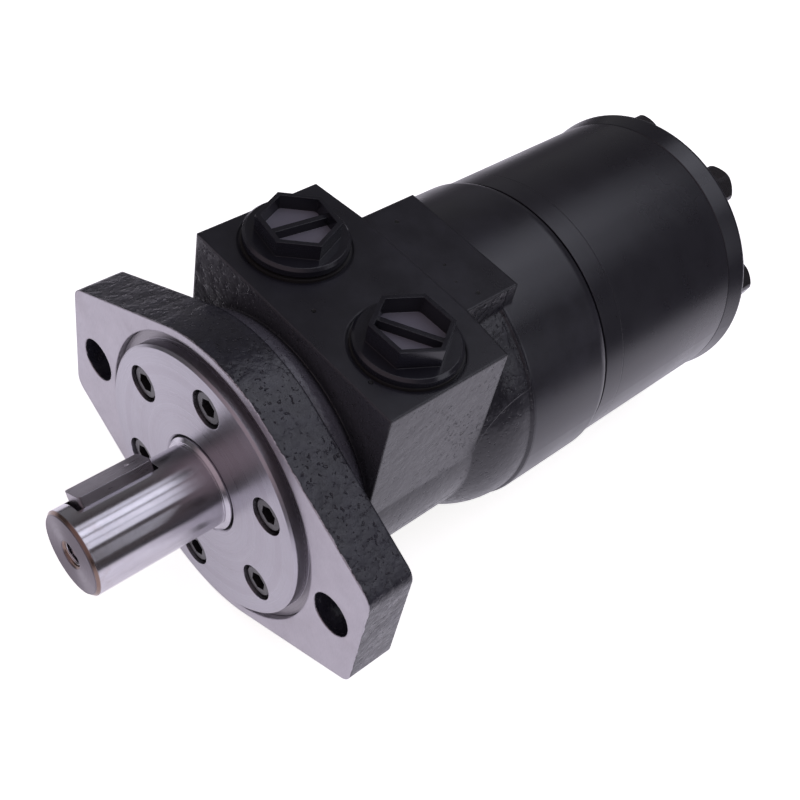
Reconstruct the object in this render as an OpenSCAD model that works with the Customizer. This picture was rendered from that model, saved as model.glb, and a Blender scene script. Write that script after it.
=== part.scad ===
// Orbital (gerotor) hydraulic motor with a two-bolt oval flange.
// The origin is the centre of the mounting face on the shaft axis.
// The output shaft points along -Y, the body runs back along +Y and the oil ports face +Z.

/* [Mounting flange] */
// Distance between the two mounting holes
bolt_spacing = 106.4; // [104:0.1:108]
// Diameter of each mounting hole
bolt_hole_d = 13.5; // [11:0.1:14]
// Thickness of the flange
flange_t = 14.6; // [13:0.1:16]
// Half the length of the flange, along X
flange_half = 64.5; // [63.5:0.1:66]
// Radius of the flange's round middle
flange_mid_r = 47; // [46.5:0.1:48]
// Diameter of the pilot
pilot_d = 82.5; // [81:0.05:83]

/* [Output shaft] */
// Diameter of the output shaft
shaft_d = 25; // [24:0.1:25.4]
// Distance from the mounting face to the shaft's tip
shaft_reach = 43; // [41:0.5:46]
// Width of the key
key_w = 8; // [7:0.1:8]
// Length of the key
key_l = 22; // [18:0.5:23]
// Angle of the key about the shaft, from +X towards +Z
key_angle = 123; // [0:1:360]

/* [Port block] */
// Half the width of the port block, along X
block_half = 39.5; // [39:0.1:41]
// Height of the port face above the shaft axis
port_face_z = 49; // [48:0.1:50]
// Distance between the two ports
port_spacing = 45.4; // [44:0.1:46]
// Distance from the mounting face to the ports
port_y = 43; // [42:0.1:44]
// Diameter of each port's bore
port_bore_d = 18.6; // [18:0.1:19]

/* [Body and gear set] */
// Distance from the mounting face to the rear face of the housing
housing_l = 116; // [115.5:0.1:117]
// Thickness of the distributor plate
plate_t = 8; // [7.5:0.1:9]
// Width of the stator ring, which sets the displacement
gear_w = 55; // [54:0.5:60]
// Thickness of the end cover
cover_t = 8.3; // [8:0.1:10]
// Radius of the stator ring
ring_r = 45.9; // [45.8:0.1:46.2]
// Radius of the housing's rear collar
collar_r = 46.9; // [46.6:0.1:47.2]
// Angle of the first end cover bolt, from +X towards +Z
bolt_phase = 13.86; // [10:0.1:18]

/* [Hidden] */
$fn = 96;
over = 0.5;              // how far a cut runs past the face it opens

// Paint, metal and rubber colours
cast_black = "#1b1b20";
ring_black = "#1d1c22";
bare_steel = "#a9a6b2";
dark_steel = "#3a3a40";
rubber = "#141414";
plug_black = "#18191d";

// Flange outline
corner_r = 5;
corner_x = flange_half - corner_r;
corner_z = 16.5;

// Front cover
cover_seat_r = 44.35;    // counterbore in the mounting face
cover_edge_r = 44.25;
cover_step_y = 2;        // the cover's rim lies this far below the mounting face
cover_face_y = -2.5;     // the pilot stands this far proud of it
cover_back_y = 9;
pilot_edge = 0.7;
screw_pitch_r = 31.3;
screw_count = 6;
screw_first = 30;
screw_head_r = 5;
screw_head_h = 6;
screw_sink = 0.8;
screw_seat_y = cover_face_y + screw_sink + screw_head_h;
screw_tip_y = 20.3;
screw_shank_r = 2.95;
screw_tap_r = 3;
screw_clear_r = 3.3;
screw_socket_r = 5 / sqrt(3);
screw_socket_h = 3.2;
cover_oring_r = 39.3;

// Seal journal and thrust bearing
journal_r = 14.2;
cover_bore_r = 14.7;
journal_y = -3.6;        // the journal's front shoulder
journal_edge = 0.9;
tip_hole_r = 3.4;        // tapping size of M8
tip_hole_l = 20;
dust_y = [-0.5, 2.5];
dust_pocket_r = 18;
seal_y = [3.5, 8];
seal_pocket_r = 19;
race_t = 1;
needle_r = 1.25;
needle_count = 20;
race_in_r = 15;
race_out_r = 24.5;
needle_y = cover_back_y + race_t + needle_r;
spool_front_y = needle_y + needle_r + race_t;
bearing_bore_r = 25;

// Spool valve in the shaft
spool_r = 19;
spool_bore_r = 19.04;
spool_back_y = housing_l - 3;
groove_a_y = [29, 36];
groove_b_y = [50, 57];
chamber_r = 22;
spool_groove_r = 17.2;
window_y = [39, 47];
slot_count = 6;
slot_w = 3.6;

// Channels from the windows to the gear set
lobe_count = 7;
lobe_step = 360 / lobe_count;
channel_r = 3.5;
channel_pitch_r = 26.5;

// Port block, as seen from above
block_front_y = 22.5;
block_ear_y = 64;        // the rear edge at the ears' outer corners
block_neck_y = 66;       // and where the ears meet the pad
pad_half = 21.8;
pad_back_y = 86;
pad_drop = 0.3;          // the pad lies this far below the port face
block_floor_z = -8;
port_floor_z = 32;
spot_face_r = 15.8;
spot_face_t = 0.4;
port_edge = 1.3;
drill_a = [-19, 35.5, 8];    // foot of the drilling from port a down to its chamber
drill_b = [13.4, 50.5, 13];

// Round stretches of the housing
neck_crest_r = 43;
neck_round = 6;
neck_y = 18.5;
waist_r = 40.3;
collar_y = 81.4;
shoulder_round = 27.2;
shoulder_r = 46.1;
collar_lip = 1.5;        // round on the collar's front edge
collar_round = 4.5;      // and on its rear edge,
collar_run = 3.5;        // over this length

// Gear set
plate_y = housing_l;
gear_y = plate_y + plate_t;
cover_y = gear_y + gear_w;
end_y = cover_y + cover_t;
orbit_e = 2.6;           // from the ring's centre to the rotor's centre
gear_pitch_r = 36;
lobe_r = 8;
root_r = 33.5;
gear_play = 0.06;        // between the rotor's flanks and the lobes
side_play = 0.03;
plate_bore_r = 14;

// End cover bolts, M8
cover_bolt_pitch_r = 37.2;
bolt_shank_r = 3.95;
bolt_tap_r = 4.02;
bolt_clear_r = 4.3;
bolt_tip_y = housing_l - 17.5;
washer_r = 8;
washer_t = 1.8;
bolt_head_af = 13;
bolt_head_r = 7.1;       // the corners are turned down to this
bolt_head_h = 8.6;
bolt_head_round = 2;     // height of the dome on each head
bolt_head_top_r = 4.9;
cover_ramp = 6.5;        // the cover widens from the ring's radius over this length
cover_edge = 1.6;
ring_edge = 0.3;
body_oring_r = 43.9;
oring_wire = 0.72;
oring_half = 0.85;       // half the width of each seal's groove
oring_depth = 1.5;

// Cardan shaft and its splines
cardan_pivot_y = 64;     // where its axis crosses the motor's axis
cardan_gear_y = 156;     // where its axis meets the rotor's axis
cardan_tilt = atan(orbit_e / (cardan_gear_y - cardan_pivot_y));
spline_teeth = 12;
spline_root_r = 10.6;
spline_tip_r = 12.6;
spline_tooth_w = 3;
spline_play = 0.35;
spline_half = 4.5;       // half the length of each crowned spline
cardan_rod_r = 9.4;

// Key
key_h = 7;
key_top_r = 15;
key_front_y = 5.8 - shaft_reach;
key_play = 0.04;
key_corner = 0.9;
keyway_spare = 1.2;      // how far the keyway runs past each end of the key

// Port plugs
plug_flange_r = 14.8;
plug_flange_t = 2.6;
plug_hex_r = 11.7;
plug_h = 8.7;            // the hexagon's top above the port face
plug_stub_r = 9.1;
plug_stub_l = 12;
plug_wall = 1.3;
plug_rib_w = 1.6;
plug_rib_h = 2.8;        // above the plug's floor
plug_floor_t = 3;
plug_edge = 0.8;
plug_ring_t = 0.9;
plug_ring_r = 15.1;
plug_turn_a = -9.25;
plug_turn_b = -58.5;
plug_lift_a = 0.8;       // plug a isn't screwed right down

// Check valves in the housing's rear face
check_pitch_r = 29;
check_lobe_a = 1;
check_lobe_b = 4;
check_bore_r = 3;
check_seat_y = housing_l - 12;
check_seat_r = 1.5;
check_ball_r = 2.5;
check_ball_y = check_seat_y + sqrt(check_ball_r ^ 2 - check_seat_r ^ 2) + 0.04;
spring_r = 1.9;
spring_wire_r = 0.35;
spring_turns = 5;
spring_y0 = check_ball_y + 2.2;
spring_y1 = housing_l - 0.4;

// ---- helpers ----

// Lays a shape that was drawn along Z down along +Y, starting at y.
module along_y(y = 0) {
    translate([0, y, 0]) rotate([-90, 0, 0]) children();
}

// A round bar or hole on the motor's axis, from y0 to y1.
module bar(r, y0, y1) {
    along_y(y0) cylinder(h = y1 - y0, r = r);
}

// A flat ring on the motor's axis.
module ring(r_out, r_in, y0, y1) {
    difference() {
        bar(r_out, y0, y1);
        bar(r_in, y0 - over, y1 + over);
    }
}

// A cone on the motor's axis, for chamfers.
module taper(r0, r1, y0, y1) {
    along_y(y0) cylinder(h = y1 - y0, r1 = r0, r2 = r1);
}

// Places children at each of n steps about the motor's axis; angle is from +X towards +Z.
module around(n, pitch_r, first = 0) {
    for (k = [0 : n - 1])
        spoke(pitch_r, first + k * 360 / n) children();
}

// Places children at one angle about the motor's axis, their own +X pointing outwards.
module spoke(pitch_r, angle) {
    rotate([0, -angle, 0]) translate([pitch_r, 0, 0]) children();
}

// A toroidal seal about the motor's axis.
module oring(pitch_r, wire_r, y) {
    along_y(y) rotate_extrude() translate([pitch_r, 0]) circle(wire_r, $fn = 32);
}

// The groove for one of the seals between the body's plates.
module body_oring_groove(y0, y1) {
    ring(body_oring_r + oring_half, body_oring_r - oring_half, y0, y1);
}

// ---- housing ----

// The flange's outline: a round middle drawn out to two blunt ends.
module flange_outline() {
    reach = norm([corner_x, corner_z]);
    lean = atan2(corner_z, corner_x) + acos((flange_mid_r - corner_r) / reach);
    dir = [cos(lean), sin(lean)];
    touch_mid = flange_mid_r * dir;
    touch_end = [corner_x, corner_z] + corner_r * dir;
    quarter = [[0, 0], touch_mid, touch_end, [flange_half, corner_z], [flange_half, 0]];
    circle(flange_mid_r, $fn = 180);
    for (mx = [0, 1], mz = [0, 1])
        mirror([mx, 0]) mirror([0, mz]) {
            polygon(quarter);
            translate([corner_x, corner_z]) circle(corner_r, $fn = 48);
        }
}

// The block's outline from above: two ears and a pad that runs back over the collar.
function block_points() = [
    [-block_half, block_front_y], [block_half, block_front_y],
    [block_half, block_ear_y], [pad_half, block_neck_y],
    [pad_half, pad_back_y], [-pad_half, pad_back_y],
    [-pad_half, block_neck_y], [-block_half, block_ear_y]];

module port_block() {
    translate([0, 0, block_floor_z])
        linear_extrude(port_face_z - block_floor_z) polygon(block_points());
}

// The round parts of the outside: neck, waist, shoulder and collar.
module housing_barrel() {
    along_y() rotate_extrude($fn = 180) {
        translate([neck_crest_r - neck_round, neck_y]) circle(neck_round, $fn = 48);
        translate([0, neck_y - neck_round]) square([neck_crest_r - neck_round, 2 * neck_round]);
        translate([0, neck_y]) square([waist_r, collar_y - neck_y]);
        intersection() {
            translate([shoulder_r - shoulder_round, collar_y - 1]) circle(shoulder_round, $fn = 180);
            translate([0, neck_y]) square([shoulder_r, collar_y - neck_y]);
        }
        polygon([[0, collar_y], [shoulder_r, collar_y], [shoulder_r, collar_y + collar_lip],
                 [collar_r, collar_y + collar_lip], [collar_r, housing_l - collar_run],
                 [collar_r - collar_round, housing_l - collar_run],
                 [collar_r - collar_round, housing_l], [0, housing_l]]);
        translate([collar_r - collar_lip, collar_y + collar_lip]) circle(collar_lip, $fn = 48);
        intersection() {
            translate([collar_r - collar_round, housing_l - collar_run])
                circle(collar_round, $fn = 96);
            square([collar_r, housing_l]);
        }
    }
}

// One port: spot face, threaded bore and the drilling down to its spool chamber.
module port_cut(x, drill) {
    seat_z = port_face_z - spot_face_t;
    translate([x, port_y, port_floor_z]) cylinder(h = seat_z + over - port_floor_z, d = port_bore_d);
    translate([x, port_y, seat_z]) cylinder(h = spot_face_t + over, r = spot_face_r);
    translate([x, port_y, seat_z + 0.1 - port_edge])
        cylinder(h = port_edge, d1 = port_bore_d, d2 = port_bore_d + 2 * port_edge);
    translate(drill) cylinder(h = port_floor_z + 1 - drill[2], r = 3, $fn = 48);
}

// One pocket for a check valve: ball bore, seat and the drain drilling behind it.
module check_cut() {
    translate([0, check_seat_y, 0]) rotate([-90, 0, 0])
        cylinder(h = housing_l + over - check_seat_y, r = check_bore_r, $fn = 48);
    translate([0, check_seat_y - 7, 0]) rotate([-90, 0, 0])
        cylinder(h = 7 + over, r = check_seat_r, $fn = 32);
    translate([0, check_seat_y - 5.5, 0]) rotate([0, -90, 0])
        cylinder(h = check_pitch_r - spool_r + 1, r = check_seat_r, $fn = 32);
}

module housing_cuts() {
    for (s = [-1, 1])
        translate([s * bolt_spacing / 2, -over, 0]) rotate([-90, 0, 0])
            cylinder(h = flange_t + 2 * over, d = bolt_hole_d);
    bar(cover_seat_r, -over, cover_back_y);
    bar(bearing_bore_r, cover_back_y - over, spool_front_y + 1);
    bar(spool_bore_r, spool_front_y, housing_l + over);
    bar(chamber_r, groove_a_y[0], groove_a_y[1]);
    bar(chamber_r, groove_b_y[0], groove_b_y[1]);
    around(screw_count, screw_pitch_r, screw_first)
        bar(screw_tap_r, cover_back_y - over, screw_tip_y + 2);
    around(lobe_count, channel_pitch_r, bolt_phase + lobe_step / 2) {
        bar(channel_r, window_y[0], housing_l + over);
        translate([spool_r - 1 - channel_pitch_r, window_y[0], -channel_r])
            cube([channel_pitch_r - spool_r + 1, window_y[1] - window_y[0], 2 * channel_r]);
    }
    around(lobe_count, cover_bolt_pitch_r, bolt_phase)
        bar(bolt_tap_r, bolt_tip_y - 2, housing_l + over);
    port_cut(-port_spacing / 2, drill_a);
    port_cut(port_spacing / 2, drill_b);
    for (lobe = [check_lobe_a, check_lobe_b])
        spoke(check_pitch_r, bolt_phase + lobe * lobe_step) check_cut();
    body_oring_groove(housing_l - oring_depth, housing_l + over);
    translate([-pad_half - over, block_neck_y, port_face_z - pad_drop])
        cube([2 * (pad_half + over), pad_back_y + over - block_neck_y, pad_drop + over]);
}

module housing() {
    color(cast_black) difference() {
        union() {
            along_y() linear_extrude(flange_t) flange_outline();
            housing_barrel();
            port_block();
        }
        housing_cuts();
    }
}

// ---- front cover, its screws and seals ----

module front_cover() {
    pilot_r = pilot_d / 2;
    color(bare_steel) difference() {
        union() {
            bar(cover_edge_r, cover_step_y, cover_back_y);
            bar(pilot_r, cover_face_y + pilot_edge, cover_back_y);
            taper(pilot_r - pilot_edge, pilot_r, cover_face_y, cover_face_y + pilot_edge);
        }
        bar(cover_bore_r, cover_face_y - over, cover_back_y + over);
        taper(cover_bore_r + 0.5, cover_bore_r, cover_face_y - 0.01, cover_face_y + 0.49);
        bar(dust_pocket_r, dust_y[0], dust_y[1]);
        bar(seal_pocket_r, seal_y[0], cover_back_y + over);
        around(screw_count, screw_pitch_r, screw_first) {
            bar(screw_clear_r, cover_face_y, cover_back_y + over);
            bar(screw_head_r + 0.6, cover_face_y - over, screw_seat_y);
        }
        ring(cover_oring_r + 1.05, cover_oring_r - 1.05, cover_back_y - 1.85, cover_back_y + over);
    }
}

// A socket head screw with its head at the front.
module cover_screw() {
    head_y = screw_seat_y - screw_head_h;
    difference() {
        union() {
            taper(screw_head_r - 0.5, screw_head_r, head_y, head_y + 0.5);
            bar(screw_head_r, head_y + 0.5, screw_seat_y);
            bar(screw_shank_r, screw_seat_y - over, screw_tip_y);
        }
        along_y(head_y - over) cylinder(h = screw_socket_h + over, r = screw_socket_r, $fn = 6);
    }
}

module front_cover_screws() {
    color(dark_steel) around(screw_count, screw_pitch_r, screw_first) cover_screw();
}

module front_cover_oring() {
    color(rubber) oring(cover_oring_r, 0.9, cover_back_y - 0.92);
}

// A pressed ring with a lip that rides on the journal.
module lip_seal(r_out, y0, y1, back) {
    lip_r = journal_r + 0.05;
    color(rubber) along_y() rotate_extrude()
        polygon([[lip_r, y0], [r_out, y0], [r_out, y1], [r_out - 1.2, y1],
                 [r_out - 1.5, y0 + back], [lip_r + 1.3, y0 + back],
                 [lip_r + 0.9, y1 - 0.4], [lip_r + 0.3, y1 - 0.4], [lip_r, y1 - 0.9]]);
}

module dust_seal() {
    lip_seal(dust_pocket_r - 0.02, dust_y[0] + 0.05, dust_y[1] - 0.05, 1.2);
}

module shaft_seal() {
    lip_seal(seal_pocket_r - 0.02, seal_y[0] + 0.05, seal_y[1] - 0.05, 1.8);
}

module seal_backup_washer() {
    color(bare_steel) ring(seal_pocket_r - 0.05, race_in_r, seal_y[1], cover_back_y - 0.02);
}

// ---- thrust bearing ----

module thrust_race_front() {
    color(bare_steel) ring(race_out_r, race_in_r, cover_back_y, cover_back_y + race_t);
}

module thrust_race_rear() {
    color(bare_steel) ring(race_out_r, race_in_r, spool_front_y - race_t, spool_front_y);
}

module thrust_cage() {
    color(dark_steel) difference() {
        ring(race_out_r - 0.4, race_in_r + 0.3, needle_y - 0.8, needle_y + 0.8);
        around(needle_count, 0, 0)
            translate([race_in_r + 1, needle_y - 2, -needle_r - 0.1])
                cube([7.4, 4, 2 * needle_r + 0.2]);
    }
}

module thrust_needles() {
    color(bare_steel) around(needle_count, race_in_r + 1.2, 0)
        translate([0, needle_y, 0]) rotate([0, 90, 0])
            cylinder(h = 7, r = needle_r - 0.02, $fn = 32);
}

// ---- output shaft ----

// The slot that the key sits in, cut square by a disc cutter.
module keyway() {
    rotate([0, -key_angle, 0])
        translate([key_top_r - key_h, key_front_y - keyway_spare, -key_w / 2])
            cube([2 * key_h, key_l + 2 * keyway_spare, key_w]);
}

// Teeth or tooth slots about Z, from the root out to the tip.
module spline_teeth(root_r, tip_r, tooth_w, h) {
    for (k = [0 : spline_teeth - 1])
        rotate([0, 0, k * 360 / spline_teeth])
            translate([root_r - 1, -tooth_w / 2, 0]) cube([tip_r - root_r + 1, tooth_w, h]);
}

// A splined hole along +Y from y0 to y1.
module splined_hole(y0, y1) {
    bar(spline_root_r + spline_play, y0, y1);
    along_y(y0) spline_teeth(spline_root_r + spline_play, spline_tip_r + spline_play,
                             spline_tooth_w + 1.4 * spline_play, y1 - y0);
}

// Lengthwise slots of the spool, cut from one groove towards the other.
module spool_slots(y0, y1, first) {
    around(slot_count, spool_groove_r - 0.6, first)
        translate([0, y0, -slot_w / 2]) cube([4, y1 - y0, slot_w]);
}

module output_shaft() {
    shaft_r = shaft_d / 2;
    tip_y = -shaft_reach;
    color(bare_steel) difference() {
        union() {
            taper(shaft_r - 1, shaft_r, tip_y, tip_y + 1);
            bar(shaft_r, tip_y + 1, journal_y + over);
            taper(journal_r - journal_edge, journal_r, journal_y, journal_y + journal_edge);
            bar(journal_r, journal_y + journal_edge, spool_front_y + over);
            bar(spool_r, spool_front_y, spool_back_y);
        }
        bar(tip_hole_r, tip_y - over, tip_y + tip_hole_l);
        taper(tip_hole_r + 1, tip_hole_r, tip_y - 0.01, tip_y + 1);
        keyway();
        ring(spool_r + over, spool_groove_r, groove_a_y[0], groove_a_y[1]);
        ring(spool_r + over, spool_groove_r, groove_b_y[0], groove_b_y[1]);
        spool_slots(groove_a_y[1] - over, window_y[1] - 1, 0);
        spool_slots(window_y[0] + 1, groove_b_y[0] + over, 180 / slot_count);
        splined_hole(cardan_pivot_y - spline_half - 3.5, cardan_pivot_y + spline_half + 2);
        bar(14.4, cardan_pivot_y + spline_half + 2 - over, spool_back_y + over);
    }
}

// The key from above, with rounded corners and a little play on each side.
module key_outline() {
    half_w = key_w / 2 - key_play;
    for (x = [key_corner - half_w, half_w - key_corner], y = [key_corner, key_l - key_corner])
        translate([x, y]) circle(key_corner, $fn = 48);
    translate([-half_w, key_corner]) square([2 * half_w, key_l - 2 * key_corner]);
    translate([key_corner - half_w, 0]) square([2 * (half_w - key_corner), key_l]);
}

module shaft_key() {
    color(bare_steel) rotate([0, -key_angle, 0])
        translate([key_top_r - key_h + key_play, key_front_y, 0]) rotate([0, 90, 0])
            linear_extrude(key_h - key_play) key_outline();
}

// ---- cardan shaft ----

// One crowned spline, centred on the origin along Z.
module crowned_spline() {
    intersection() {
        union() {
            cylinder(h = 2 * spline_half, r = spline_root_r, center = true);
            translate([0, 0, -spline_half])
                spline_teeth(spline_root_r, spline_tip_r + 1, spline_tooth_w, 2 * spline_half);
        }
        rotate_extrude() intersection() {
            translate([spline_tip_r - 30, 0]) circle(30, $fn = 180);
            translate([0, -spline_half]) square([spline_tip_r + 1, 2 * spline_half]);
        }
    }
}

// The plane of the rest tilt is that of the rotor's offset.
module cardan_place() {
    translate([0, cardan_pivot_y, 0]) rotate([0, -bolt_phase, 0])
        rotate([0, 0, -cardan_tilt]) rotate([0, bolt_phase, 0]) rotate([-90, 0, 0]) children();
}

module cardan_shaft() {
    reach = (cardan_gear_y - cardan_pivot_y) / cos(cardan_tilt);
    color(dark_steel) cardan_place() {
        crowned_spline();
        translate([0, 0, spline_half - over])
            cylinder(h = reach - 2 * spline_half + 2 * over, r = cardan_rod_r);
        translate([0, 0, reach]) crowned_spline();
        translate([0, 0, -spline_half - 2]) cylinder(h = 2 + over, r = 6);
        translate([0, 0, reach + spline_half - over]) cylinder(h = 1.5 + over, r = 6);
    }
}

module cardan_spacer() {
    y0 = cardan_gear_y + spline_half + 2;
    color(bare_steel) spoke(orbit_e, bolt_phase) bar(9.6, y0, cover_y - 0.15);
}

// ---- gear set ----

// Seven holes for the end cover bolts.
module cover_bolt_holes(y0, y1) {
    around(lobe_count, cover_bolt_pitch_r, bolt_phase) bar(bolt_clear_r, y0 - over, y1 + over);
}

module distributor_plate() {
    color(ring_black) difference() {
        bar(ring_r, plate_y, gear_y);
        bar(plate_bore_r, plate_y - over, gear_y + over);
        cover_bolt_holes(plate_y, gear_y);
        around(lobe_count, channel_pitch_r, bolt_phase + lobe_step / 2) {
            bar(channel_r, plate_y - over, gear_y + over);
            translate([0, plate_y - over, -channel_r])
                cube([3.5, plate_t + 2 * over, 2 * channel_r]);
            translate([3.5, 0, 0]) bar(channel_r, plate_y - over, gear_y + over);
        }
        body_oring_groove(gear_y - oring_depth, gear_y + over);
    }
}

// The space inside the ring: a round hollow with seven lobes left standing in it.
module lobed_hollow() {
    difference() {
        circle(root_r, $fn = 180);
        for (k = [0 : lobe_count - 1])
            rotate([0, 0, k * lobe_step - bolt_phase]) translate([gear_pitch_r, 0]) circle(lobe_r);
    }
}

module stator_ring() {
    color(ring_black) difference() {
        union() {
            bar(ring_r, gear_y, cover_y - ring_edge);
            taper(ring_r, ring_r - ring_edge, cover_y - ring_edge, cover_y);
        }
        along_y(gear_y - over) linear_extrude(gear_w + 2 * over) lobed_hollow();
        cover_bolt_holes(gear_y, cover_y);
    }
}

// Centre of a ring lobe as it moves past the rotor, in the rotor's own frame.
function lobe_path(t) = gear_pitch_r * [cos(t), sin(t)]
    - orbit_e * [cos(lobe_count * t), sin(lobe_count * t)];

// The rotor's flank: the lobe's path moved inwards by the lobe's radius.
function flank_point(t) =
    let (ahead = lobe_path(t + 0.01) - lobe_path(t - 0.01), n = ahead / norm(ahead))
    lobe_path(t) + (lobe_r + gear_play) * [-n[1], n[0]];

module rotor() {
    flank = [for (k = [0 : 215]) flank_point(k * 360 / 216)];
    color(bare_steel) translate([orbit_e * cos(bolt_phase), 0, orbit_e * sin(bolt_phase)])
        difference() {
            along_y(gear_y + side_play) rotate([0, 0, -bolt_phase])
                linear_extrude(gear_w - 2 * side_play) polygon(flank);
            splined_hole(gear_y - over, cover_y + over);
        }
}

// ---- end cover ----

module end_cover() {
    color(ring_black) difference() {
        along_y() rotate_extrude($fn = 180) {
            polygon([[0, cover_y], [ring_r - ring_edge, cover_y], [ring_r, cover_y + ring_edge],
                     [collar_r, cover_y + cover_ramp], [collar_r, end_y - cover_edge],
                     [collar_r - cover_edge, end_y - cover_edge],
                     [collar_r - cover_edge, end_y], [0, end_y]]);
            translate([collar_r - cover_edge, end_y - cover_edge])
                circle(cover_edge, $fn = 48);
        }
        cover_bolt_holes(cover_y, end_y);
        body_oring_groove(cover_y - over, cover_y + oring_depth);
    }
}

module end_cover_washers() {
    color(dark_steel) around(lobe_count, cover_bolt_pitch_r, bolt_phase)
        ring(washer_r, bolt_clear_r - 0.1, end_y, end_y + washer_t);
}

// A hex head bolt that points forwards, its head domed behind the cover.
module cover_bolt() {
    seat_y = end_y + washer_t;
    bar(bolt_shank_r, bolt_tip_y, seat_y + over);
    intersection() {
        along_y(seat_y) cylinder(h = bolt_head_h, r = bolt_head_af / sqrt(3), $fn = 6);
        union() {
            bar(bolt_head_r, seat_y, seat_y + bolt_head_h - bolt_head_round);
            taper(bolt_head_r, bolt_head_top_r,
                  seat_y + bolt_head_h - bolt_head_round, seat_y + bolt_head_h);
        }
    }
}

module end_cover_bolts() {
    color(dark_steel) around(lobe_count, cover_bolt_pitch_r, bolt_phase) cover_bolt();
}

module body_orings() {
    sink = oring_wire + 0.02;
    color(rubber) for (y = [housing_l - sink, gear_y - sink, cover_y + sink])
        oring(body_oring_r, oring_wire, y);
}

// ---- port plugs ----

// A hollow plastic plug: threaded stub, round flange, hexagonal wall and a rib across the floor.
module port_plug(x, lift, turn) {
    base = port_face_z - spot_face_t + plug_ring_t + lift;
    top = port_face_z + plug_h;
    floor_z = base + plug_floor_t;
    hollow_r = plug_hex_r - plug_wall / cos(30);
    rib_half = hollow_r * cos(30) + over;
    color(plug_black) translate([x, port_y, 0]) rotate([0, 0, turn]) {
        difference() {
            union() {
                translate([0, 0, base - plug_stub_l]) cylinder(h = plug_stub_l + 1, r = plug_stub_r);
                translate([0, 0, base]) cylinder(h = plug_flange_t - plug_edge, r = plug_flange_r);
                translate([0, 0, base + plug_flange_t - plug_edge])
                    cylinder(h = plug_edge, r1 = plug_flange_r, r2 = plug_flange_r - plug_edge);
                translate([0, 0, base + 1]) cylinder(h = top - base - 1, r = plug_hex_r, $fn = 6);
            }
            translate([0, 0, floor_z]) cylinder(h = plug_h, r = hollow_r, $fn = 6);
            translate([0, 0, base - plug_stub_l - over])
                cylinder(h = plug_stub_l + over - 1, r = plug_stub_r - 1.8);
        }
        translate([-plug_rib_w / 2, -rib_half, floor_z - over])
            cube([plug_rib_w, 2 * rib_half, plug_rib_h + over]);
    }
}

module port_plug_ring(x) {
    color(rubber) translate([x, port_y, port_face_z - spot_face_t]) difference() {
        cylinder(h = plug_ring_t, r = plug_ring_r);
        translate([0, 0, -over]) cylinder(h = plug_ring_t + 2 * over, r = plug_stub_r + 0.4);
    }
}

module port_plug_a() {
    port_plug(-port_spacing / 2, plug_lift_a, plug_turn_a);
}

module port_plug_b() {
    port_plug(port_spacing / 2, 0, plug_turn_b);
}

module port_plug_ring_a() {
    port_plug_ring(-port_spacing / 2);
}

module port_plug_ring_b() {
    port_plug_ring(port_spacing / 2);
}

// ---- check valves ----

module check_place(lobe) {
    spoke(check_pitch_r, bolt_phase + lobe * lobe_step) children();
}

module check_ball(lobe) {
    color(bare_steel) check_place(lobe)
        translate([0, check_ball_y, 0]) sphere(check_ball_r, $fn = 48);
}

// A coil spring along +Y, swept as one closed tube.
module check_spring(lobe) {
    sides = 6;
    rings = 14 * spring_turns;
    points = [for (k = [0 : rings], s = [0 : sides - 1])
        let (a = k * 360 / 14, b = s * 360 / sides, r = spring_r + spring_wire_r * cos(b))
        [r * cos(a), spring_y0 + (spring_y1 - spring_y0) * k / rings + spring_wire_r * sin(b),
         r * sin(a)]];
    walls = [for (k = [0 : rings - 1], s = [0 : sides - 1])
        let (n = (s + 1) % sides)
        [k * sides + s, (k + 1) * sides + s, (k + 1) * sides + n, k * sides + n]];
    first_end = [for (s = [0 : sides - 1]) s];
    last_end = [for (s = [0 : sides - 1]) rings * sides + sides - 1 - s];
    color(bare_steel) check_place(lobe) polyhedron(points, concat([first_end], walls, [last_end]));
}

module check_ball_a() {
    check_ball(check_lobe_a);
}

module check_ball_b() {
    check_ball(check_lobe_b);
}

module check_spring_a() {
    check_spring(check_lobe_a);
}

module check_spring_b() {
    check_spring(check_lobe_b);
}

housing();
front_cover();
front_cover_screws();
front_cover_oring();
dust_seal();
shaft_seal();
seal_backup_washer();
thrust_race_front();
thrust_cage();
thrust_needles();
thrust_race_rear();
output_shaft();
shaft_key();
cardan_shaft();
cardan_spacer();
distributor_plate();
stator_ring();
rotor();
end_cover();
end_cover_bolts();
end_cover_washers();
body_orings();
port_plug_a();
port_plug_b();
port_plug_ring_a();
port_plug_ring_b();
check_ball_a();
check_ball_b();
check_spring_a();
check_spring_b();
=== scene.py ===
"""Looks of the orbital hydraulic motor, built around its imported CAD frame."""

import math

import bpy
from mathutils import Matrix, Vector


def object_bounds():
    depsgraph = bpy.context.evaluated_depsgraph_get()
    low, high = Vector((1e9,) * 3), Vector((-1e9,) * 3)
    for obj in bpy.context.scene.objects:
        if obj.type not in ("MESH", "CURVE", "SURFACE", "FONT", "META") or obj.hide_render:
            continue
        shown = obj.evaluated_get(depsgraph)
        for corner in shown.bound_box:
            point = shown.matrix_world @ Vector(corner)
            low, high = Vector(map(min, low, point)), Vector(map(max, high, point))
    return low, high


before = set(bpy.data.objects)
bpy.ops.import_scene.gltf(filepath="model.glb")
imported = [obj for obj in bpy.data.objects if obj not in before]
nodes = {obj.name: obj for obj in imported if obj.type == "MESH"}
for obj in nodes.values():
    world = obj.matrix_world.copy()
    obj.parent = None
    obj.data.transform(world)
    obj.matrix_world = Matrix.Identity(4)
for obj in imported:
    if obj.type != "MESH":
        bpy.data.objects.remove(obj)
cad_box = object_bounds()
scene = bpy.context.scene

# ---- camera, floor and light ----

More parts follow.
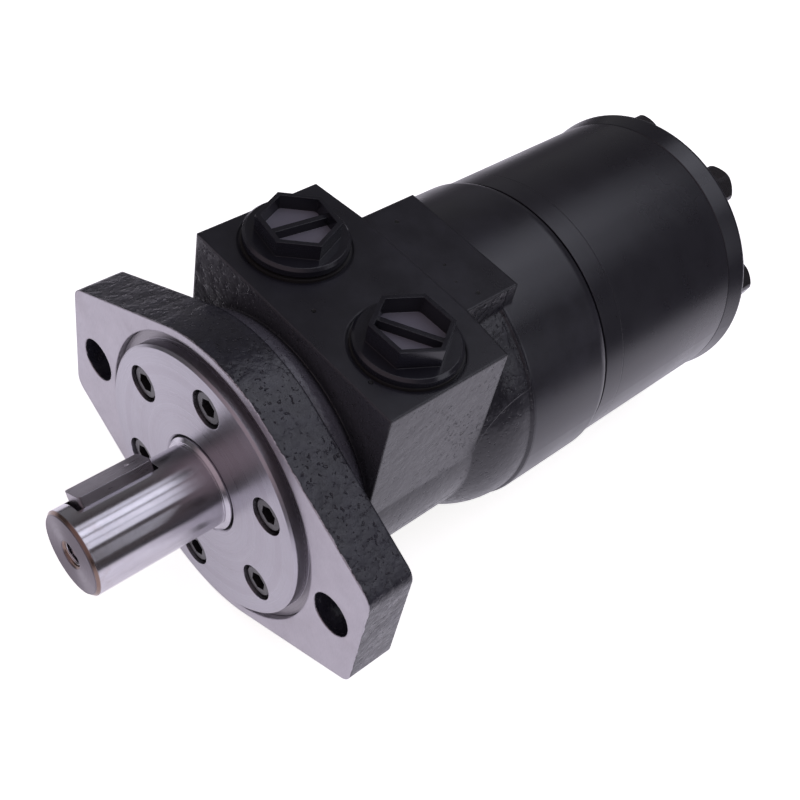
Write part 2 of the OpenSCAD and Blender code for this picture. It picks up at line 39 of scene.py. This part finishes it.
CAMERA_AT = Vector((0.154367, -0.130070, 0.265672))
CAMERA_FORWARD = Vector((-0.37986, 0.53317, -0.75594)).normalized()
CAMERA_UP = Vector((-0.64443, 0.43374, 0.62975))
CENTRE = Vector((0.0, 0.08, 0.0))
COOL = (0.92, 0.93, 1.06)


def look(obj, at, forward, up):
    """Stands obj at a point, facing forward."""
    right = forward.cross(up).normalized()
    top = right.cross(forward).normalized()
    turn = Matrix((right, top, -forward)).transposed().to_4x4()
    obj.matrix_world = Matrix.Translation(at) @ turn


def make_camera():
    data = bpy.data.cameras.new("camera")
    data.lens = 53.70
    data.sensor_width = 36.0
    data.shift_x = -0.0107
    data.shift_y = 0.0476
    data.clip_start = 0.01
    data.clip_end = 50.0
    cam = bpy.data.objects.new("camera", data)
    scene.collection.objects.link(cam)
    look(cam, CAMERA_AT, CAMERA_FORWARD, CAMERA_UP)
    scene.camera = cam


def softbox(name, direction, distance, size, radiance, tint, glossy=True):
    """A rectangular light that shows the same brightness wherever it is seen from."""
    data = bpy.data.lights.new(name, "AREA")
    data.shape = "RECTANGLE"
    data.size, data.size_y = size
    data.energy = radiance * math.pi * size[0] * size[1]
    data.color = tint
    light = bpy.data.objects.new(name, data)
    scene.collection.objects.link(light)
    away = Vector(direction).normalized()
    look(light, CENTRE + away * distance, -away, Vector((0.0, 1.0, 0.0)))
    light.visible_camera = False
    light.visible_glossy = glossy


def strips():
    """Four long lights side by side overhead, which the turned steel shows as streaks."""
    height = 1.15
    depth = 0.48
    length = 1.12
    # across from CENTRE, width and radiance
    plan = ((-0.34, 0.24, 1.1), (-0.02, 0.32, 1.6), (0.36, 0.32, 1.3), (0.74, 0.34, 1.15))
    for k, (x, width, radiance) in enumerate(plan):
        reach = Vector((x, depth, height))
        softbox("overhead_%d" % k, reach, reach.length, (width, length), radiance, COOL)


def make_world():
    """Pale to the camera; to everything else a dim room with a brown wall in front."""
    world = bpy.data.worlds.new("studio")
    scene.world = world
    world.use_nodes = True
    tree = world.node_tree
    tree.nodes.clear()

    def node(kind, **settings):
        made = tree.nodes.new(kind)
        for key, value in settings.items():
            setattr(made, key, value)
        return made

    def rise(value, low, high):
        made = node("ShaderNodeMapRange", interpolation_type="SMOOTHSTEP")
        tree.links.new(value, made.inputs["Value"])
        made.inputs["From Min"].default_value = low
        made.inputs["From Max"].default_value = high
        return made.outputs["Result"]

    def toward(direction):
        made = node("ShaderNodeVectorMath", operation="DOT_PRODUCT")
        tree.links.new(place.outputs["Generated"], made.inputs[0])
        made.inputs[1].default_value = Vector(direction).normalized()
        return made.outputs["Value"]

    def over(fac, below, above):
        made = node("ShaderNodeMix", data_type="RGBA")
        tree.links.new(fac, made.inputs["Factor"])
        if isinstance(below, tuple):
            made.inputs["A"].default_value = (*below, 1.0)
        else:
            tree.links.new(below, made.inputs["A"])
        made.inputs["B"].default_value = (*above, 1.0)
        return made.outputs["Result"]

    place = node("ShaderNodeTexCoord")
    room = over(rise(toward((0, 0, 1)), 0.0, 0.5), (0.13, 0.125, 0.135), (0.075, 0.066, 0.068))
    room = over(rise(toward((-1, 0.2, 0.1)), 0.5, 0.95), room, (0.19, 0.185, 0.195))
    room = over(rise(toward((1, 0.3, 0.35)), 0.5, 0.95), room, (0.085, 0.075, 0.079))
    room = over(rise(toward((0.1, -0.75, 0.66)), 0.5, 0.9), room, (0.50, 0.40, 0.44))
    out = node("ShaderNodeOutputWorld")
    mix = node("ShaderNodeMixShader")
    seen = node("ShaderNodeBackground")
    dim = node("ShaderNodeBackground")
    path = node("ShaderNodeLightPath")
    seen.inputs["Color"].default_value = (1.0, 0.99, 1.0, 1)
    seen.inputs["Strength"].default_value = 1.05
    tree.links.new(room, dim.inputs["Color"])
    tree.links.new(path.outputs["Is Camera Ray"], mix.inputs["Fac"])
    tree.links.new(dim.outputs[0], mix.inputs[1])
    tree.links.new(seen.outputs[0], mix.inputs[2])
    tree.links.new(mix.outputs[0], out.inputs["Surface"])


def make_floor():
    """A pale sheet that glows a little; what is reflected of it fades away from the motor."""
    half = 4.0
    z = cad_box[0].z - 0.0002
    mesh = bpy.data.meshes.new("floor")
    corners = [(-half, -half, z), (half, -half, z), (half, half, z), (-half, half, z)]
    mesh.from_pydata(corners, [], [(0, 1, 2, 3)])
    floor = bpy.data.objects.new("floor", mesh)
    scene.collection.objects.link(floor)
    f = Finish("floor_paper")
    path = f.new("ShaderNodeLightPath")
    far = f.times(f.step(f.radius(f.x, f.y, 0.0, 80.0), 170.0, 480.0), path.outputs["Is Glossy Ray"])
    seen = path.outputs["Is Camera Ray"]
    f.bsdf.inputs["Specular IOR Level"].default_value = 0.0
    mesh.materials.append(f.done(
        base_color=f.colour(far, (0.86, 0.85, 0.90), (0.10, 0.095, 0.105)),
        roughness=0.9,
        emission_color=f.colour(seen, (0.95, 0.925, 1.03), (1.0, 1.0, 0.97)),
        emission_strength=f.blend(seen, f.blend(far, 0.62, 0.03), 0.80),
    ))


# ---- procedural finishes ----


class Finish:
    """A node-based material over a piece's own coordinates, which are in millimetres."""

    def __init__(self, name):
        self.mat = bpy.data.materials.new(name)
        self.mat.use_nodes = True
        self.tree = self.mat.node_tree
        self.tree.nodes.clear()
        out = self.new("ShaderNodeOutputMaterial")
        self.bsdf = self.new("ShaderNodeBsdfPrincipled")
        self.link(self.bsdf.outputs["BSDF"], out.inputs["Surface"])
        coord = self.new("ShaderNodeTexCoord")
        scale = self.new("ShaderNodeVectorMath", operation="SCALE")
        scale.inputs["Scale"].default_value = 1000.0
        self.link(coord.outputs["Object"], scale.inputs[0])
        self.mm = scale.outputs[0]
        self.x, self.y, self.z = self.split(self.mm)
        self.nx, self.ny, self.nz = self.split(coord.outputs["Normal"])
        self.normal = None

    def new(self, kind, **settings):
        node = self.tree.nodes.new(kind)
        for key, value in settings.items():
            setattr(node, key, value)
        return node

    def link(self, source, target):
        self.tree.links.new(source, target)

    def put(self, value, socket):
        """A link if value is another node's output, and otherwise a plain setting."""
        if isinstance(value, bpy.types.NodeSocket):
            self.link(value, socket)
        else:
            socket.default_value = value

    def split(self, vector):
        node = self.new("ShaderNodeSeparateXYZ")
        self.link(vector, node.inputs[0])
        return node.outputs[0], node.outputs[1], node.outputs[2]

    def join(self, x, y, z):
        node = self.new("ShaderNodeCombineXYZ")
        for value, socket in zip((x, y, z), node.inputs):
            self.put(value, socket)
        return node.outputs[0]

    def math(self, operation, a, b=0.0):
        node = self.new("ShaderNodeMath", operation=operation)
        self.put(a, node.inputs[0])
        self.put(b, node.inputs[1])
        return node.outputs[0]

    def times(self, *values):
        total = values[0]
        for value in values[1:]:
            total = self.math("MULTIPLY", total, value)
        return total

    def plus(self, *values):
        total = values[0]
        for value in values[1:]:
            total = self.math("ADD", total, value)
        return total

    def most(self, *values):
        total = values[0]
        for value in values[1:]:
            total = self.math("MAXIMUM", total, value)
        return total

    def step(self, value, low, high, start=0.0, end=1.0):
        """A smooth rise from start to end while value goes from low to high."""
        node = self.new("ShaderNodeMapRange", interpolation_type="SMOOTHSTEP")
        self.put(value, node.inputs["Value"])
        for key, number in (("From Min", low), ("From Max", high), ("To Min", start), ("To Max", end)):
            node.inputs[key].default_value = number
        return node.outputs["Result"]

    def inverse(self, value):
        return self.math("SUBTRACT", 1.0, value)

    def radius(self, a, b, a0=0.0, b0=0.0):
        """Distance from the line that is at (a0, b0)."""
        da = self.math("SUBTRACT", a, a0)
        db = self.math("SUBTRACT", b, b0)
        return self.math("SQRT", self.plus(self.times(da, da), self.times(db, db)))

    def noise(self, scale, detail=3.0, rough=0.5, stretch=None, place=None, twist=0.0):
        node = self.new("ShaderNodeTexNoise")
        source = place or self.mm
        if stretch:
            squeeze = self.new("ShaderNodeVectorMath", operation="MULTIPLY")
            squeeze.inputs[1].default_value = stretch
            self.link(source, squeeze.inputs[0])
            source = squeeze.outputs[0]
        self.link(source, node.inputs["Vector"])
        node.inputs["Scale"].default_value = scale
        node.inputs["Detail"].default_value = detail
        node.inputs["Roughness"].default_value = rough
        node.inputs["Distortion"].default_value = twist
        return node.outputs["Fac"]

    def spot(self, at, reach):
        """One inside a small ragged ball about a point, and zero outside."""
        node = self.new("ShaderNodeVectorMath", operation="DISTANCE")
        self.link(self.mm, node.inputs[0])
        node.inputs[1].default_value = at
        ragged = self.plus(node.outputs["Value"], self.times(self.noise(1.9, 2.0), reach * 0.7))
        return self.step(ragged, reach, reach * 1.35, 1.0, 0.0)

    def colour(self, fac, a, b):
        node = self.new("ShaderNodeMix", data_type="RGBA")
        self.put(fac, node.inputs["Factor"])
        self.put(a if isinstance(a, bpy.types.NodeSocket) else (*a, 1.0), node.inputs["A"])
        self.put(b if isinstance(b, bpy.types.NodeSocket) else (*b, 1.0), node.inputs["B"])
        return node.outputs["Result"]

    def blend(self, fac, a, b):
        node = self.new("ShaderNodeMix", data_type="FLOAT")
        for value, key in ((fac, "Factor"), (a, "A"), (b, "B")):
            self.put(value, node.inputs[key])
        return node.outputs["Result"]

    def soften_edges(self, radius):
        """Rounds the edges' shading as a cutter or paint would, radius in millimetres."""
        node = self.new("ShaderNodeBevel", samples=6)
        node.inputs["Radius"].default_value = radius / 1000.0
        self.normal = node.outputs["Normal"]

    def bump(self, height, depth, strength=1.0):
        """Height from 0 to 1 stands for depth in millimetres."""
        node = self.new("ShaderNodeBump")
        node.inputs["Distance"].default_value = depth / 1000.0
        node.inputs["Strength"].default_value = strength
        self.link(height, node.inputs["Height"])
        if self.normal:
            self.link(self.normal, node.inputs["Normal"])
        self.normal = node.outputs["Normal"]

    def done(self, **values):
        for key, value in values.items():
            name = key.replace("_", " ").title().replace("Ior", "IOR")
            if isinstance(value, tuple):
                value = (*value, 1.0)
            self.put(value, self.bsdf.inputs[name])
        if self.normal:
            self.link(self.normal, self.bsdf.inputs["Normal"])
        return self.mat


PAINT = (0.0105, 0.0105, 0.0150)
PAINT_WORN = (0.0175, 0.0175, 0.0245)
BARE = (0.50, 0.48, 0.515)
BARE_DULL = (0.36, 0.34, 0.37)

# Measures of the CAD pieces that the finishes follow, in millimetres
FLANGE_BACK = 14.6
BLOCK_FRONT = 22.5
BLOCK_HALF = 39.5
PORT_FACE = 49.0
SEAT_R = 44.35
SEAT_FLOOR = 9.0
COLLAR_FRONT = 81.4
PILOT_R = 41.25
SHAFT_TIP = -43.0
TIP_HOLE_R = 3.4
THREAD_PITCH = 1.25  # the tip's thread is in its finish only
PLUG_X, PLUG_Y = 22.7, 43.0

# Dents and nicks of the casting: where, and how wide
NICKS = (((-15.3, 73.8, 49.0), 0.9), ((5.1, 73.4, 49.0), 0.6), ((18.2, 73.7, 49.0), 0.8),
         ((11.8, 71.5, 49.0), 0.5), ((-0.1, 30.7, 49.0), 0.7), ((26.8, 27.0, 49.0), 0.8),
         ((39.5, 54.6, 23.0), 0.8), ((37.2, 13.8, 28.3), 1.0))


def housing_finish():
    """Painted casting with a bare machined mounting face, and painted light: the flange's sides, the
    band behind the flange and the block's front are painted lighter than the paint.
    """
    f = Finish("painted_casting")
    radial = f.radius(f.x, f.z)
    machined_top = f.step(f.z, PORT_FACE - 0.7, PORT_FACE - 0.5)
    spot_face = f.times(f.step(f.z, PORT_FACE - 0.6, PORT_FACE - 0.1, 1.0, 0.0),
                        f.step(f.z, PORT_FACE - 2.0, PORT_FACE - 1.0), f.step(f.nz, 0.9, 0.99))
    block_side = f.times(f.step(f.math("ABSOLUTE", f.x), BLOCK_HALF - 0.2, BLOCK_HALF - 0.05),
                         f.step(f.y, BLOCK_FRONT - 1.5, BLOCK_FRONT - 0.5))
    collar = f.step(f.y, COLLAR_FRONT + 0.6, COLLAR_FRONT + 1.2)
    smooth = f.most(machined_top, spot_face, collar, f.times(block_side, 0.55))
    rough = f.inverse(smooth)
    front = f.times(f.step(f.ny, -0.97, -0.9, 1.0, 0.0), f.step(f.y, 0.35, 0.6, 1.0, 0.0))
    ragged = f.plus(f.y, f.times(f.noise(0.30, 4.0, 0.6), -1.5))
    chipped = f.times(f.step(ragged, -0.62, -0.45, 1.0, 0.0), f.step(f.y, 0.8, 1.2, 1.0, 0.0))
    seat = f.times(f.step(radial, SEAT_R + 0.25, SEAT_R + 0.55, 1.0, 0.0),
                   f.step(f.y, SEAT_FLOOR + 0.2, SEAT_FLOOR + 0.6, 1.0, 0.0))
    bare = f.most(front, chipped, seat)

    grain = f.noise(0.55, 2.0, 0.5)
    lumps = f.noise(0.16, 1.0, 0.4)
    pits = f.step(f.noise(0.85, 2.0, 0.5), 0.60, 0.74, 1.0, 0.0)
    sparse = f.step(f.noise(0.07, 2.0), 0.36, 0.5)
    pits = f.plus(f.times(pits, sparse), f.inverse(sparse))
    orange_peel = f.noise(1.3, 2.0, 0.5)
    lay = f.noise(3.2, 2.0, 0.6, stretch=(1.0, 1.0, 0.16))

    f.soften_edges(0.9)
    cast = f.times(rough, f.inverse(front))
    f.bump(f.times(f.plus(f.times(grain, 0.5), f.times(lumps, 0.9)), cast), 0.55, 0.9)
    f.bump(f.plus(f.times(pits, cast), f.inverse(cast)), 0.35, 0.8)
    f.bump(orange_peel, 0.012, 0.4)
    f.bump(f.times(lay, front), 0.035, 0.8)

    marks = f.most(*[f.spot(at, reach) for at, reach in NICKS])
    f.bump(f.inverse(marks), 0.35, 0.9)

    dust = f.noise(0.035, 5.0, 0.7)
    paint = f.colour(f.step(dust, 0.42, 0.72), PAINT, PAINT_WORN)
    paint = f.colour(f.times(f.step(grain, 0.52, 0.72), rough, 0.5), paint, (0.024, 0.024, 0.032))
    # Painted sheen: the flange's cast sides are painted lighter, most on their lumps, in place of the
    # bright light they show.
    flange_side = f.times(f.step(f.y, FLANGE_BACK - 0.2, FLANGE_BACK + 0.1, 1.0, 0.0),
                          f.step(radial, 46.0, 46.6), cast)
    lumps_painted_sheen = f.times(flange_side, f.step(lumps, 0.35, 0.65, 0.35, 1.0))
    paint = f.colour(lumps_painted_sheen, paint, (0.018, 0.018, 0.027))
    # Painted highlight: the band between the flange and the block, with its crest, is painted much
    # lighter in place of the light it catches.
    neck_painted_highlight = f.times(f.step(f.y, FLANGE_BACK + 0.1, FLANGE_BACK + 1.9),
                   f.step(f.y, BLOCK_FRONT - 2.5, BLOCK_FRONT - 0.2, 1.0, 0.0))
    paint = f.colour(neck_painted_highlight, paint, (0.085, 0.084, 0.105))
    # Painted light: the block's front face, shaded by the flange, is painted lighter in place of fill
    # light.
    block_front_painted_light = f.times(f.step(f.y, BLOCK_FRONT - 0.2, BLOCK_FRONT - 0.05),
                          f.step(f.y, BLOCK_FRONT + 0.05, BLOCK_FRONT + 0.2, 1.0, 0.0))
    paint = f.colour(block_front_painted_light, paint, (0.040, 0.040, 0.048))
    paint = f.colour(f.times(marks, 0.9), paint, (0.002, 0.002, 0.002))
    metal = f.colour(f.noise(0.12, 5.0, 0.65), BARE_DULL, BARE)
    metal = f.colour(f.times(f.step(f.noise(0.09, 4.0), 0.56, 0.75), 0.25), metal, (0.30, 0.27, 0.29))
    painted = f.blend(smooth, f.step(grain, 0.3, 0.7, 0.25, 0.36), f.step(dust, 0.3, 0.7, 0.26, 0.34))
    return f.done(
        base_color=f.colour(bare, paint, metal),
        metallic=bare,
        roughness=f.blend(bare, painted, f.step(lay, 0.3, 0.7, 0.30, 0.42)),
    )


def body_finish(name):
    """Smooth black paint on turned pieces."""
    f = Finish(name)
    peel = f.noise(1.1, 2.0, 0.5)
    soft = f.noise(0.03, 4.0, 0.6)
    turned = f.noise(2.4, 2.0, 0.5, stretch=(0.02, 1.0, 0.02))
    f.soften_edges(0.4)
    f.bump(peel, 0.015, 0.4)
    f.bump(turned, 0.012, 0.5)
    return f.done(
        base_color=f.colour(f.step(soft, 0.4, 0.75), PAINT, (0.0145, 0.0145, 0.020)),
        roughness=f.step(soft, 0.3, 0.7, 0.25, 0.33),
    )


def cover_finish():
    """Bare steel, turned about the motor's axis."""
    f = Finish("turned_steel")
    radial = f.radius(f.x, f.z)
    lines = f.noise(1.0, 4.0, 0.75, place=f.join(f.times(radial, 3.1), f.times(f.y, 1.4), 0.0))
    broad = f.noise(1.0, 2.0, 0.5, place=f.join(f.times(radial, 0.35), f.times(f.y, 0.2), 0.0))
    stain = f.noise(0.09, 5.0, 0.65, twist=0.6)
    tangent = f.new("ShaderNodeTangent", direction_type="RADIAL", axis="Y")
    f.link(tangent.outputs[0], f.bsdf.inputs["Tangent"])
    f.soften_edges(0.3)
    f.bump(lines, 0.02, 0.65)
    tone = f.colour(f.step(broad, 0.3, 0.7), (0.405, 0.39, 0.425), (0.43, 0.42, 0.455))
    tone = f.colour(f.times(f.step(stain, 0.5, 0.8), 0.25), tone, (0.31, 0.28, 0.29))
    tone = f.colour(f.step(radial, PILOT_R + 0.05, PILOT_R + 0.25), tone, (0.25, 0.235, 0.25))
    return f.done(base_color=tone, metallic=1.0, anisotropic=0.6, anisotropic_rotation=0.25,
                  roughness=f.step(lines, 0.25, 0.75, 0.24, 0.38))


def shaft_finish():
    """Ground steel with fine lines round the shaft, browned a little at its tip."""
    f = Finish("ground_steel")
    radial = f.radius(f.x, f.z)
    lines = f.noise(1.0, 4.0, 0.7, place=f.join(f.times(f.y, 5.5), f.times(radial, 3.0), 0.0))
    smear = f.noise(0.2, 4.0, 0.6, stretch=(1.0, 0.25, 1.0))
    tip = f.step(f.y, SHAFT_TIP + 0.1, SHAFT_TIP + 0.6, 1.0, 0.0)
    stained = f.most(tip, f.step(f.y, SHAFT_TIP + 3.0, SHAFT_TIP + 13.0, 0.5, 0.12))
    stain = f.times(f.step(f.noise(0.3, 5.0, 0.65), 0.45, 0.8), stained)
    tangent = f.new("ShaderNodeTangent", direction_type="RADIAL", axis="Y")
    f.link(tangent.outputs[0], f.bsdf.inputs["Tangent"])
    turn = f.math("ARCTAN2", f.x, f.z)
    thread = f.math("SINE", f.plus(f.times(f.y, 2 * math.pi / THREAD_PITCH), turn))
    threaded = f.step(radial, TIP_HOLE_R + 0.3, TIP_HOLE_R + 0.6, 1.0, 0.0)
    f.soften_edges(0.25)
    f.bump(lines, 0.014, 0.6)
    f.bump(f.times(f.plus(thread, 1.0), threaded), 0.25, 0.8)
    tone = f.colour(f.step(smear, 0.35, 0.7), (0.50, 0.485, 0.52), (0.58, 0.565, 0.60))
    tone = f.colour(f.times(stain, 0.55), tone, (0.33, 0.26, 0.225))
    face = f.colour(f.noise(0.5, 4.0, 0.6), (0.15, 0.13, 0.145), (0.20, 0.18, 0.20))
    tone = f.colour(tip, tone, face)
    rim = f.times(f.step(f.y, SHAFT_TIP + 0.1, SHAFT_TIP + 0.3),
                  f.step(f.y, SHAFT_TIP + 0.8, SHAFT_TIP + 1.1, 1.0, 0.0))
    tone = f.colour(rim, tone, (0.24, 0.17, 0.14))
    return f.done(base_color=tone, metallic=1.0, anisotropic=0.85, anisotropic_rotation=0.25,
                  roughness=f.plus(f.step(lines, 0.25, 0.75, 0.16, 0.22), f.times(tip, 0.2)))


def key_finish():
    """Drawn key steel, duller than the shaft, with one small dent in its bump and a painted glint in its
    colour.
    """
    f = Finish("key_steel")
    drawn = f.noise(1.6, 4.0, 0.6, stretch=(1.0, 0.08, 1.0))
    cloud = f.noise(0.25, 4.0, 0.6)
    # This ball is a real dent in the bump, and its bright colour is a painted glint.
    nick_and_painted_glint = f.spot((-8.6, -20.5, 12.4), 0.8)
    f.soften_edges(0.3)
    f.bump(drawn, 0.03, 0.7)
    f.bump(f.inverse(nick_and_painted_glint), 0.2, 0.8)
    tone = f.colour(cloud, (0.30, 0.28, 0.30), (0.43, 0.41, 0.44))
    return f.done(base_color=f.colour(nick_and_painted_glint, tone, (0.75, 0.73, 0.76)), metallic=1.0,
                  roughness=f.step(drawn, 0.3, 0.7, 0.26, 0.38))


def steel_finish(name, low, high, gloss):
    """Plain steel for the small and inner pieces."""
    f = Finish(name)
    cloud = f.noise(0.22, 5.0, 0.6)
    fine = f.noise(3.6, 3.0, 0.6)
    f.soften_edges(0.2)
    f.bump(fine, 0.015, 0.6)
    return f.done(base_color=f.colour(cloud, low, high), metallic=1.0,
                  roughness=f.step(fine, 0.25, 0.75, gloss, gloss + 0.12))


def oxide_finish():
    """Blackened steel with a thin film of oil."""
    f = Finish("black_oxide")
    cloud = f.noise(0.5, 5.0, 0.65)
    fine = f.noise(4.5, 3.0, 0.6)
    f.soften_edges(0.25)
    f.bump(fine, 0.02, 0.6)
    return f.done(base_color=f.colour(cloud, (0.020, 0.019, 0.021), (0.045, 0.043, 0.047)), metallic=0.6,
                  roughness=f.step(fine, 0.25, 0.75, 0.24, 0.38), coat_weight=0.3, coat_roughness=0.15)


def rubber_finish():
    """Dull black rubber for the seals."""
    f = Finish("seal_rubber")
    fine = f.noise(3.0, 4.0, 0.7)
    cloud = f.noise(0.15, 3.0, 0.5)
    f.bump(fine, 0.03, 0.6)
    return f.done(base_color=f.colour(cloud, (0.009, 0.009, 0.009), (0.018, 0.017, 0.017)),
                  roughness=f.step(fine, 0.3, 0.7, 0.5, 0.66))


def plastic_finish():
    """Moulded black plastic: a fine grain and soft edges, and a painted highlight on the floors of the
    plugs.
    """
    f = Finish("moulded_plastic")
    skin = f.noise(2.2, 3.0, 0.55)
    flow = f.noise(0.12, 3.0, 0.6)
    f.soften_edges(0.3)
    f.bump(skin, 0.006, 0.4)
    radial = f.radius(f.math("ABSOLUTE", f.x), f.y, PLUG_X, PLUG_Y)
    # Painted highlight: the plugs' floors are painted much lighter in place of the overhead light they
    # reflect.
    floor = f.times(f.step(radial, 9.6, 10.2, 1.0, 0.0),
                    f.step(f.z, PORT_FACE + 4.6, PORT_FACE + 5.2, 1.0, 0.0), f.step(f.nz, 0.8, 0.95))
    tone = f.colour(flow, (0.0085, 0.0087, 0.0125), (0.014, 0.0142, 0.020))
    return f.done(base_color=f.colour(f.times(floor, 0.8), tone, (0.17, 0.165, 0.20)),
                  roughness=f.step(flow, 0.3, 0.7, 0.16, 0.24))


def dress():
    """Gives every CAD node its finish."""
    painted = body_finish("painted_ring")
    bright = steel_finish("hardened_steel", (0.46, 0.45, 0.47), (0.60, 0.59, 0.61), 0.2)
    dull = steel_finish("tempered_steel", (0.24, 0.235, 0.25), (0.36, 0.35, 0.37), 0.32)
    rubber = rubber_finish()
    oxide = oxide_finish()
    plastic = plastic_finish()
    finishes = {
        housing_finish(): ["housing"],
        cover_finish(): ["front_cover"],
        shaft_finish(): ["output_shaft"],
        key_finish(): ["shaft_key"],
        painted: ["distributor_plate", "stator_ring", "end_cover"],
        oxide: ["front_cover_screws", "end_cover_bolts", "end_cover_washers"],
        bright: ["thrust_race_front", "thrust_race_rear", "thrust_needles", "rotor",
                 "check_ball_a", "check_ball_b", "check_spring_a", "check_spring_b"],
        dull: ["cardan_shaft", "cardan_spacer", "thrust_cage", "seal_backup_washer"],
        rubber: ["front_cover_oring", "dust_seal", "shaft_seal", "body_orings",
                 "port_plug_ring_a", "port_plug_ring_b"],
        plastic: ["port_plug_a", "port_plug_b"],
    }
    for finish, names in finishes.items():
        for name in names:
            mesh = nodes[name].data
            mesh.materials.clear()
            mesh.materials.append(finish)


make_camera()
make_world()
make_floor()
strips()
softbox("right_card", (0.66, 0.34, 0.34), 0.82, (0.34, 0.30), 1.1, (0.93, 0.94, 1.06))
softbox("floor_fill", (0.3, -0.5, 1.0), 1.8, (1.6, 1.6), 0.35, (1.0, 0.99, 1.0), glossy=False)
scene.view_settings.view_transform = "Standard"
dress()
